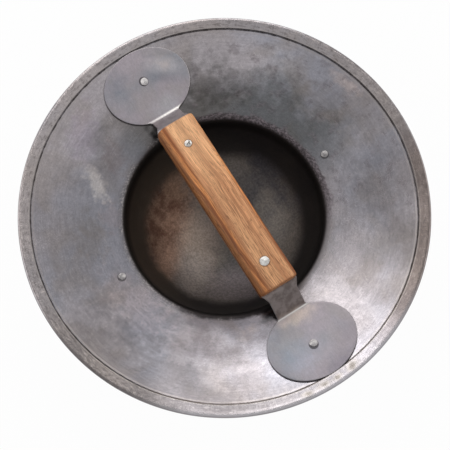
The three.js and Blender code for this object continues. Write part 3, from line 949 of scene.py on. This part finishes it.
def lip_wear(shader, polar, colour, rough):
    """The bend at the mouth: a little rubbed, or under a rough purplish scale on its far right side."""
    lip = shader.attribute("lip")
    crust = polar.noise(34, 760, detail=4, roughness=0.7)
    fray = shader.noise(130, detail=4)
    specks = shader.noise(750, detail=3, roughness=0.6)
    far_right = polar.towards(26, 0.3, 0.75)
    colour = colour.mix(lip * 0.75, (92, 87, 88))

    frayed = lip + specks.spread(-0.3, 0.3)
    lightened = frayed.ramp(0.4, 0.8) * fray.ramp(0.35, 0.6) * (1 - far_right)
    lightened = lightened * specks.ramp(0.47, 0.6) * polar.towards(160, -0.5, 0.4)
    colour = colour.mix(lightened * 0.8, (190, 184, 184))

    # the near side of the bend lies in the dark
    edge = polar.radius + fray.spread(-0.0008, 0.0008)
    shade = edge.ramp(0.0797, 0.0768, high=0.88) * polar.towards(-113, 0.7, 0.92)
    colour = colour.mix(shade, (40, 36, 36))

    scale = (lip + fray.spread(-0.16, 0.16)).ramp(0.0, 0.3) * far_right
    scale_tone = shader.mix(crust.ramp(0.42, 0.64), (72, 65, 68), (142, 132, 138))
    colour = colour.mix(scale * 0.8, scale_tone)
    return colour, rough + lip * 0.26 + scale * 0.2, specks * lip


def hem_wear(shader, polar, colour, rough, hem):
    """The hem: filed across, browner than the brim, with dirt and painted shade in its seam, painted highlights
    beside it and worn spots on its near side.
    """
    near = polar.towards(-100, 0.62, 0.88)
    hatch = polar.noise(260, 60, detail=3, roughness=0.7)
    brown = polar.towards(-38, 0.74, 0.94) * 0.75
    filed = colour.mix(0.5, (188, 178, 174))
    filed = filed.mix(brown, (122, 109, 104))
    filed = filed.dim(hatch.spread(0.9, 1.1))
    worn = polar.noise(34, 640, detail=5, roughness=0.68)
    dark = worn.ramp(0.5, 0.36, high=0.5) * (1 - near * 0.65)
    filed = filed.mix(dark, (108, 100, 98))
    light = worn.ramp(0.54, 0.68) * brown.ramp(0.0, 0.75, 0.6, 0.2)
    filed = filed.mix(light, (214, 204, 200))
    for turn, start, end, loss in HEM_DULLS:
        filed = filed.dim(1 - polar.towards(turn, start, end) * loss)
    inner = polar.towards(-105, 0.86, 0.99) * polar.from_rim(3, 5.5, high=0.3)
    filed = filed.dim(1 - inner)

    # the rim catches light on its near side and turns dark where the sheet folds away
    outer = polar.from_rim(3.2, 1.4) * near
    filed = filed.mix(outer * 0.45, (232, 226, 225))
    filed = filed.dim(outer * 0.32 + 1)
    turned = polar.from_rim(1.045, 0.145, high=0.85) * (near * 0.2 + 0.8)
    filed = filed.mix(turned, (70, 64, 62))
    filed = filed.stain(near, (194, 188, 190), (194, 185, 182))
    colour = colour.mix(hem, filed)
    for place in HEM_SPOTS:
        spot = shader.spot(*place, ragged=2.4)
        for start, end, strength, stain in HEM_SPOT_LAYERS:
            colour = colour.mix(spot.ramp(start, end, high=strength) * hem, stain)

    # dirt and painted shade in the seam, with a painted highlight beside it on the brim and another on the cut edge
    seam = shader.attribute("seam")
    ragged = polar.noise(26, 0, detail=4)
    seam_dirt_and_shade = (seam / ragged.spread(0.8, 1.15)).ramp(1.0, 0.35) * seam.ramp(-0.4, 0.0)
    # a painted highlight on the brim beside the seam
    beside = seam.ramp(0.9, 1.4) * seam.ramp(2.6, 1.8, high=0.42)
    colour = colour.mix(beside, (190, 182, 180))
    lit_edge = seam.ramp(-1.3, -0.7) * seam.ramp(-0.25, -0.5, high=0.4)
    colour = colour.mix(lit_edge, (206, 198, 194))
    # painted shade and dirt in the seam, paler on the near side
    seam_dark_tone = shader.mix(near, (50, 42, 38), (104, 90, 76))
    colour = colour.mix(seam_dirt_and_shade * ragged.ramp(0.35, 0.65, 0.7, 0.95), seam_dark_tone)
    return colour, rough + seam_dirt_and_shade * 0.2, hatch * polar.from_rim(1, 2)


def bowl_rust_and_light(shader, polar, colour, rough, bowl):
    """The inside of the boss: brown rust on its left, painted pools of light on its near side and painted shade on
    its walls under the lip.
    """
    cloud = shader.noise(26, detail=5, roughness=0.6)
    mottle = shader.noise(620, detail=4, roughness=0.7)
    blotch = shader.noise(120, detail=5, roughness=0.65)
    rust = shader.spot(-35, 28, 44, 25, 55, ragged=0.8).ramp(1.3, 0.5, high=0.85)
    # painted pools of light on the near side of the boss
    light_pool = shader.spot(-23, 2, 36, 17, 50, ragged=0.6).ramp(1.5, 0.2, high=0.8)
    near_floor_light = shader.spot(-10, -44, 40, 17, -28, ragged=0.6).ramp(1.4, 0.3, high=0.75)
    out = polar.radius / MM
    bowl_colour = shader.mix(cloud.ramp(0.35, 0.65), (82, 81, 86), (122, 116, 111))
    bowl_colour = bowl_colour.dim(out.ramp(24, 50, 1.0, 1.5))
    bowl_colour = bowl_colour.mix(near_floor_light, (158, 148, 150))
    brown = shader.mix(blotch.ramp(0.38, 0.62), (122, 87, 70), (162, 128, 108))
    bowl_colour = bowl_colour.mix(rust, brown)
    bowl_colour = bowl_colour.mix(light_pool, (186, 170, 158))
    # paler rust and painted light
    bowl_colour = patched(shader, bowl_colour, BOWL_RUST_AND_LIGHT, 1.0, (1.4, 0.2))
    bowl_colour = bowl_colour.dim(mottle.ramp(0.33, 0.67, 0.78, 1.22))
    bowl_colour = bowl_colour.mix(mottle.ramp(0.62, 0.72, high=0.22), (196, 186, 178))

    # painted shade on the walls under the lip, darkest just inside the mouth
    wall_shade = (out + cloud.spread(-2.0, 2.0)).ramp(55.5, 63.5, high=0.88)
    wall_shade_tone = shader.mix(polar.towards(142, 0.1, 0.8), (58, 56, 57), (98, 89, 80))
    bowl_colour = bowl_colour.mix(wall_shade, wall_shade_tone)
    bowl_colour = bowl_colour.mix(out.ramp(70.2, 72.4, high=0.85), (44, 42, 42))
    share = bowl.ramp(0.12, 0.55)
    return colour.mix(share, bowl_colour), rough + share * (0.5 - rough)


def strap_steel():
    shader = Shader("strap_steel")
    brushed = shader.fibres(shader.place, 900, 70, detail=3, roughness=0.7)
    colour, rough, heights = worn_steel(shader, STRAP_TONES, brushed, patch=24, contrast=1.0)

    # the necks are darker, with brown stains, and the plates are patchy
    x, y, _ = shader.split(shader.place)
    neck = abs(y).ramp((foot_corner + 1.5) * MM, (foot_corner - 2) * MM) * y.ramp(0.02, -0.02, 0.62, 1.0)
    smear = shader.noise(120, detail=5, roughness=0.65)
    stained = shader.mix(smear.ramp(0.4, 0.6), (120, 108, 102), (152, 141, 137))
    colour = colour.mix(neck * 0.88, stained)
    colour = patched(shader, colour, PLATE_PATCHES, 1.4, (1.5, 0.1), STRAP_TONES[1])

    # painted highlights, partly wear, along the folds beside the plates, and painted shadows round the plates' rivets
    for side, width, start in ((1, 1.7, -0.014), (-1, 0.8, -0.03)):
        # a painted highlight along the fold, partly wear
        bend = abs(y - side * (foot_corner + 0.3) * MM)
        lightened = bend.ramp(width * MM, width * 0.3 * MM) * x.ramp(start, 0.008, 0.3, 0.95)
        colour = colour.mix(lightened, (246, 243, 240))
        rivet_x, rivet_y = plate_rivet_place(side)
        # a painted shadow round the rivet, set off to one side
        rivet_shadow = shader.spot(rivet_x - 0.45, rivet_y - 0.35, 1, 1).ramp(3.9, 3.2, high=0.8)
        colour = colour.mix(rivet_shadow, (76, 72, 75))

    # the cut edge is painted dark as painted shade, less so on the near plate, and painted bright as a painted
    # highlight on the far right side
    cut_edge = shader.attribute("cut_edge").ramp(0.3, 0.9, high=0.75)
    far_right = (x + y).ramp((plate_middle - 5.7) * MM, (plate_middle + 8.6) * MM)
    edge_tone = shader.mix(y.ramp(-0.02, 0.02), (150, 145, 147), (92, 88, 90))
    edge_tone = edge_tone.mix(far_right, MARK_TONE)
    return shader.finish(colour.mix(cut_edge, edge_tone), rough + 0.5, heights)


def rivet_steel(name, light, dark, roughness, dulling=0.0):
    """Bright beaten steel with dark specks, grey smears and the grooves of the grip's upper rivet.

    The heads beside the mouth are duller by some share.
    """
    shader = Shader(name)
    smear = shader.noise(420, detail=4, roughness=0.65)
    speck = shader.noise(1500, detail=2)
    colour = shader.mix(smear.ramp(0.35, 0.68), light, dark)
    beside_mouth = Polar(shader).radius.ramp(0.094, 0.092)
    colour = colour.dim(1 - beside_mouth * dulling)
    colour = colour.mix(speck.ramp(0.64, 0.72, high=0.5), (84, 78, 76))
    for aside, turn in GROOVES:
        groove = shader.spot(STRAP_OFFSET + aside, GRIP_SHIFT + grip_rivet_reach, *GROOVE_SIZE, turn)
        colour = colour.mix(groove.ramp(1.2, 0.6, high=0.85), (62, 50, 42))
    return shader.finish(colour, smear.spread(-0.05, 0.08) + roughness, [(smear, 0.09), (speck, 0.02)])


def grip_wood(name):
    """Oiled wood: bands and fibres along the grip, thin growth lines, and browner, streaky rounded sides."""
    shader = Shader(name)
    middle = (STRAP_OFFSET * MM, GRIP_SHIFT * MM, bridge_height * MM)
    place = shader.vector("SUBTRACT", shader.place, middle)
    x, y, z = shader.split(place)
    left = x * -1
    sway = shader.fibres(place, 26, 11, detail=2).ramp(0.25, 0.75, -0.0018, 0.0018)
    flow = shader.join(x + sway + y * 0.035, y, z)
    band = shader.fibres(flow, 360, 9, detail=3, roughness=0.5)
    fibre = shader.fibres(flow, 1300, 60, detail=4, roughness=0.62)
    growth = shader.fibres(flow, 330, 8, detail=1)
    pore = shader.fibres(flow, 1400, 150, detail=2)
    lines = functools.reduce(Value.larger, [abs(growth - level).ramp(0.014, 0.002) for level in GROWTH_LEVELS])
    lines = lines * fibre.ramp(0.33, 0.55, 0.35, 1.0)

    side = left.ramp(0.0062, 0.0095)
    top = shader.mix(band.ramp(0.38, 0.62), (184, 128, 88), (218, 163, 117))
    flank = shader.mix(band.ramp(0.4, 0.6), (136, 78, 40), (200, 131, 76))
    colour = shader.mix(side.larger(x.ramp(0.0115, 0.0142)), top, flank)
    colour = colour.dim(fibre.ramp(0.28, 0.72, 0.78, 1.18))
    line_tone = shader.mix(side, (132, 84, 52), (104, 52, 20))
    colour = colour.mix(lines * 0.75, line_tone)
    colour = colour.mix(pore.ramp(0.57, 0.66, high=0.55), (112, 70, 42))

    # painted light and shade: brighter towards the far end and the right, painted shade down the left side, and a
    # painted highlight along a ridge left of the middle
    ridge_highlight = left.ramp(0.0015, 0.0045) * left.ramp(0.009, 0.0065) * y.ramp(0.0, 0.05, high=0.24)
    left_side_shade = left.ramp(0.0106, 0.0134, 1.0, 0.56)
    for factor in (y.ramp(-0.05, 0.066, 1.1, 1.36), left_side_shade, x.ramp(0.003, 0.009, 1.0, 1.18), ridge_highlight + 1):
        colour = colour.dim(factor)
    # painted light: the top paler towards the far end
    far_end_light = y.ramp(0.0, 0.066, high=0.3) * (1 - side)
    colour = colour.mix(far_end_light, (246, 202, 156))

    # darker round the rivets and at the ends
    for end, head in ((1, UPPER_GRIP_HEAD), (-1, LOWER_GRIP_HEAD)):
        spot = shader.spot(STRAP_OFFSET, GRIP_SHIFT + end * grip_rivet_reach, head.radius, head.radius, ragged=0.25)
        colour = colour.mix(spot.ramp(1.3, 1.02, high=0.6), (84, 50, 28))
    at_end = abs(y).ramp((scale_length / 2 - 1.6) * MM, scale_length / 2 * MM, high=0.4)
    colour = colour.mix(at_end, (150, 88, 42))
    return shader.finish(colour, fibre.spread(0.6, 0.46), [(fibre, 0.06), (lines, -0.05)], metallic=0.0)


# The picture


UP = Vector((0, 0, 1))


def add_camera(right, far):
    """Looks as the photograph does; the object sits off the picture's middle because the camera is moved sideways."""
    look = far * math.cos(CAMERA_ELEVATION) - UP * math.sin(CAMERA_ELEVATION)
    over = right.cross(look)
    aside = (RIM_CENTRE_PIXELS[0] - PICTURE_SIZE / 2) * CAMERA_DISTANCE / FOCAL_PIXELS
    above = (PICTURE_SIZE / 2 - RIM_CENTRE_PIXELS[1]) * CAMERA_DISTANCE / FOCAL_PIXELS
    eye = UP * rim_height - look * CAMERA_DISTANCE - right * aside - over * above
    data = bpy.data.cameras.new("camera")
    data.sensor_width = SENSOR_WIDTH
    data.lens = FOCAL_PIXELS / PICTURE_SIZE * SENSOR_WIDTH
    camera = add("camera", data)
    camera.matrix_world = Matrix.Translation(eye * MM) @ Matrix((right, over, -look)).transposed().to_4x4()
    bpy.context.scene.camera = camera


def add_soft_box(name, right, far, angles, size, roll, brightness):
    """A soft box that looks at the middle of the shield from its angles to the picture's right and far side."""
    slopes = [math.tan(math.radians(angle)) for angle in angles]
    aim = (slopes[0] * right + slopes[1] * far + UP).normalized()
    data = bpy.data.lights.new(name, "AREA")
    data.shape = "RECTANGLE"
    data.size, data.size_y = size
    data.energy = brightness * math.pi * size[0] * size[1]
    data.color = LAMP_COLOUR
    light = add(name, data)
    sideways = (right - aim * right.dot(aim)).normalized()
    turn = Matrix((sideways, aim.cross(sideways), aim)).transposed().to_4x4()
    place = Matrix.Translation(aim * BOX_DISTANCE + UP * rim_height * MM)
    light.matrix_world = place @ turn @ Matrix.Rotation(math.radians(roll), 4, "Z")
    light.visible_camera = False


def add_room():
    world = bpy.data.worlds.new("room")
    world.use_nodes = True
    background = world.node_tree.nodes["Background"]
    background.inputs["Color"].default_value = (1, 1, 1, 1)
    background.inputs["Strength"].default_value = ROOM_LIGHT
    bpy.context.scene.world = world


def floor_material():
    """Pale, and white to the camera and in reflections, though it still takes the object's shadow."""
    shader = Shader("floor")
    nodes = shader.tree.nodes
    nodes.remove(shader.surface)
    cloud = shader.noise(3)
    paint = shader.mix(cloud, (244, 244, 244), (248, 248, 248))
    diffuse = shader.value("ShaderNodeBsdfDiffuse", {"Color": paint})
    glow = shader.value("ShaderNodeEmission", {"Color": (1, 1, 1, 1), "Strength": 1.0})
    rays = shader.node("ShaderNodeLightPath").outputs
    kinds = ("Is Camera Ray", "Is Glossy Ray", "Is Transmission Ray")
    seen = functools.reduce(Value.larger, [Value(shader, rays[kind]) for kind in kinds])
    mixed = shader.value("ShaderNodeMixShader", {0: seen * FLOOR_GLOW_SHARE, 1: diffuse, 2: glow})
    shader.feed(nodes["Material Output"].inputs["Surface"], mixed)
    return shader.material


def add_floor():
    half = FLOOR_SIZE / 2
    mesh = bpy.data.meshes.new("floor")
    mesh.from_pydata([(-half, -half, 0), (half, -half, 0), (half, half, 0), (-half, half, 0)], [], [(0, 1, 2, 3)])
    mesh.materials.append(floor_material())
    floor = add("floor", mesh)
    floor.location.z = cad_box[0].z


bpy.context.scene.view_settings.view_transform = "Standard"
add_room()
add_floor()
picture_right = Vector((*direction(CAMERA_AZIMUTH), 0))
picture_far = UP.cross(picture_right)
add_camera(picture_right, picture_far)
for box_name, box in SOFT_BOXES.items():
    add_soft_box(box_name, picture_right, picture_far, *box)

shield_body(shield_steel())
grip_strap(strap_steel())
wood = grip_wood("grip_wood")
grip_scale("outer_grip_scale", 1, wood)
grip_scale("inner_grip_scale", -1, wood)
rivets(
    rivet_steel("brim_rivet_steel", (236, 232, 232), (184, 180, 182), 0.36, dulling=0.38),
    rivet_steel("grip_rivet_steel", (252, 251, 248), (204, 199, 194), 0.4),
)
